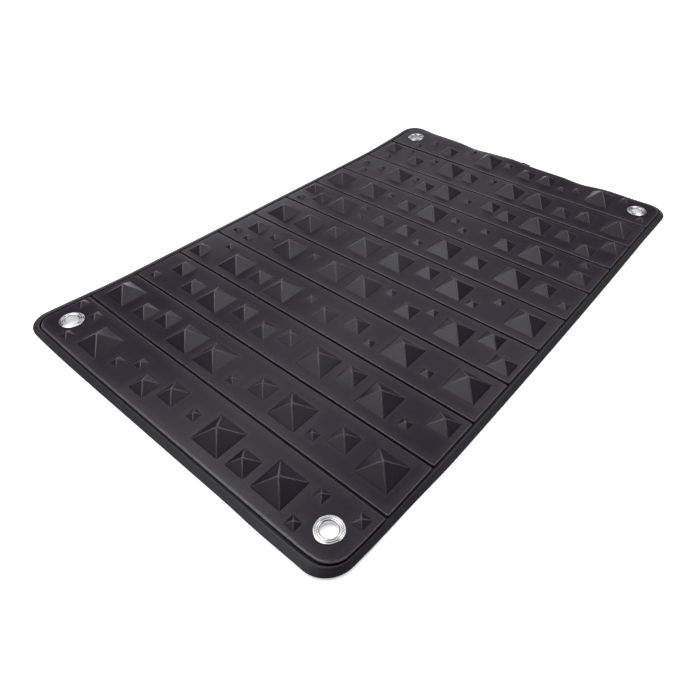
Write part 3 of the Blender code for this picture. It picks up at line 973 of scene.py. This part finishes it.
def build_inlet(plastic):
    """Rounded bush with a flared flat hole for a two-core lead."""
    low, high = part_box("lead_inlet")
    half_width = high.x
    half_height = (high.z - low.z) / 2
    middle = (low.z + high.z) / 2
    skin = Skin()

    def section(half_x, half_z, radius, y):
        loop = []
        for x, z in rounded_outline(-half_x, half_x, -half_z, half_z, radius, radius, 8):
            skin.points.append((x, y, middle + z))
            skin.wear_and_sheen.append(0.0)
            loop.append(len(skin.points) - 1)
        return loop

    def outside(inset, y):
        return section(half_width - inset, half_height - inset, BUSH_CORNER, y)

    def hole(flare, y):
        return section(HOLE_HALF_WIDTH + flare, HOLE_HALF_HEIGHT + flare, HOLE_CORNER, y)

    edge = [(inset * MM, depth * MM) for inset, depth in ((0.5, 0.0), (0.15, 0.12), (0.0, 0.5))]
    mouth = [(flare * MM, depth * MM) for flare, depth in ((0.45, 0.0), (0.12, 0.15), (0.0, 0.5))]
    loops = [outside(inset, low.y + depth) for inset, depth in edge]
    loops += [outside(inset, high.y - depth) for inset, depth in reversed(edge)]
    loops += [hole(flare, high.y - depth) for flare, depth in mouth]
    loops += [hole(flare, low.y + depth) for flare, depth in reversed(mouth)]
    skin.strips([*loops, loops[0]])
    mesh = mesh_of(skin, "lead_inlet_skin")
    finish_mesh(mesh, 50)
    add_piece(mesh.name, mesh, plastic, ["lead_inlet"], f"band_{PANELS:02d}")


def build_copy(node, name, material, body):
    """A CAD solid's own shape, cut fine enough to follow the rubber's waves."""
    bm = bmesh.new()
    bm.from_mesh(frame["nodes"][node].data)
    bmesh.ops.remove_doubles(bm, verts=bm.verts[:], dist=1e-6)
    sliced(bm, GRID)
    mesh = bpy.data.meshes.new(name)
    bm.to_mesh(mesh)
    bm.free()
    finish_mesh(mesh, 46)
    add_piece(name, mesh, material, [node], body)


def build_inside(foil, jacket, block):
    for index in range(PANELS):
        number = f"{index + 1:02d}"
        build_copy(f"spreader_foil_{number}", f"foil_sheet_{number}", foil, f"band_{number}")
        build_copy(f"heater_run_{number}", f"heater_wire_{number}", jacket, f"band_{number}")
    for node in ("splice_block", "thermal_limiter"):
        build_copy(node, node + "_skin", block, f"band_{PANELS:02d}")


# ---------------------------------------------------------------------------------------------
# Floor, light and camera

def build_stage():
    """Plain pale floor. Seen from below it is clear, so that the underside shows."""
    mesh = bpy.data.meshes.new("floor")
    size = FLOOR_SIZE
    corners = [(x, y, FLOOR_Z) for x, y in ((-size, -size), (size, -size), (size, size), (-size, size))]
    mesh.from_pydata(corners, [], [(0, 1, 2, 3)])
    floor = bpy.data.objects.new("floor", mesh)
    bpy.context.scene.collection.objects.link(floor)
    nodes = Nodes("floor_paint")
    tone = nodes.noise(3.0, 3.0, 0.5)
    colour = nodes.mix(nodes.span(tone, 0.0, 1.0), (0.90, 0.90, 0.90), (0.93, 0.93, 0.93))
    nodes.join(colour, nodes.shader.inputs["Base Color"])
    nodes.shader.inputs["Roughness"].default_value = 0.9
    nodes.shader.inputs["Specular IOR Level"].default_value = 0.1
    nodes.shader.inputs["Emission Color"].default_value = (1.0, 1.0, 1.0, 1.0)
    place = nodes.add("ShaderNodeNewGeometry")
    reach = nodes.add("ShaderNodeVectorMath", operation="LENGTH")
    nodes.join(place.outputs["Position"], reach.inputs[0])
    glow = nodes.span(reach.outputs["Value"], *FLOOR_GLOW, *GLOW_REACH)
    nodes.join(glow, nodes.shader.inputs["Emission Strength"])
    clear = nodes.add("ShaderNodeBsdfTransparent")
    either = nodes.add("ShaderNodeMixShader")
    nodes.join(place.outputs["Backfacing"], either.inputs[0])
    nodes.join(nodes.shader.outputs[0], either.inputs[1])
    nodes.join(clear.outputs[0], either.inputs[2])
    nodes.join(either.outputs[0], nodes.tree.nodes["Material Output"].inputs["Surface"])
    mesh.materials.append(nodes.material)


def build_world():
    """Pale round the horizon and dim overhead, so that the soft boxes do the lighting."""
    world = bpy.data.worlds.new("studio")
    bpy.context.scene.world = world
    world.use_nodes = True
    tree = world.node_tree
    direction = tree.nodes.new("ShaderNodeTexCoord")
    parts = tree.nodes.new("ShaderNodeSeparateXYZ")
    ramp = tree.nodes.new("ShaderNodeMapRange")
    ramp.interpolation_type = "SMOOTHSTEP"
    for socket, value in SKY.items():
        ramp.inputs[socket].default_value = value
    tree.links.new(direction.outputs["Generated"], parts.inputs["Vector"])
    tree.links.new(parts.outputs["Z"], ramp.inputs["Value"])
    tree.links.new(ramp.outputs["Result"], tree.nodes["Background"].inputs["Strength"])
    tree.nodes["Background"].inputs["Color"].default_value = (1.0, 1.0, 1.0, 1.0)


def build_light():
    """Square soft boxes round the mat, each aimed at its middle."""
    build_world()
    for name, place, side, watts in LIGHTS:
        light = bpy.data.lights.new(name, "AREA")
        light.shape = "SQUARE"
        light.size = side
        light.energy = watts
        item = bpy.data.objects.new(name, light)
        bpy.context.scene.collection.objects.link(item)
        item.location = place
        item.rotation_mode = "QUATERNION"
        item.rotation_quaternion = (-Vector(place)).to_track_quat("-Z", "Y")


def build_camera():
    data = bpy.data.cameras.new("camera")
    data.lens = CAMERA_LENS
    data.sensor_width = 36.0
    data.clip_start = 0.01
    data.clip_end = 50.0
    camera = bpy.data.objects.new("camera", data)
    camera.location = CAMERA_PLACE
    camera.rotation_euler = [math.radians(angle) for angle in CAMERA_TURN]
    bpy.context.scene.collection.objects.link(camera)
    bpy.context.scene.camera = camera


def build_scene():
    rubber = pad_rubber_material()
    build_sheet(sheet_rubber_material())
    for index in range(PANELS):
        build_pad(index, rubber)
    bright = metal_material("bright_metal_look", (0.52, 0.52, 0.53), (0.44, 0.44, 0.45), 0.20, 0.26)
    washer = metal_material("washer_look", (0.72, 0.72, 0.73), (0.60, 0.60, 0.62), 0.22, 0.38)
    build_eyelets(bright, washer)
    build_inlet(plastic_material("bush_look", (0.012, 0.012, 0.013), (0.02, 0.02, 0.021), 0.5))
    jacket = plastic_material("jacket_look", (0.30, 0.035, 0.025), (0.38, 0.05, 0.035), 0.45)
    block = plastic_material("block_look", (0.55, 0.53, 0.47), (0.62, 0.60, 0.54), 0.5)
    build_inside(foil_material(), jacket, block)
    build_stage()
    build_light()
    build_camera()
    bpy.context.scene.view_settings.view_transform = "Standard"


build_scene()
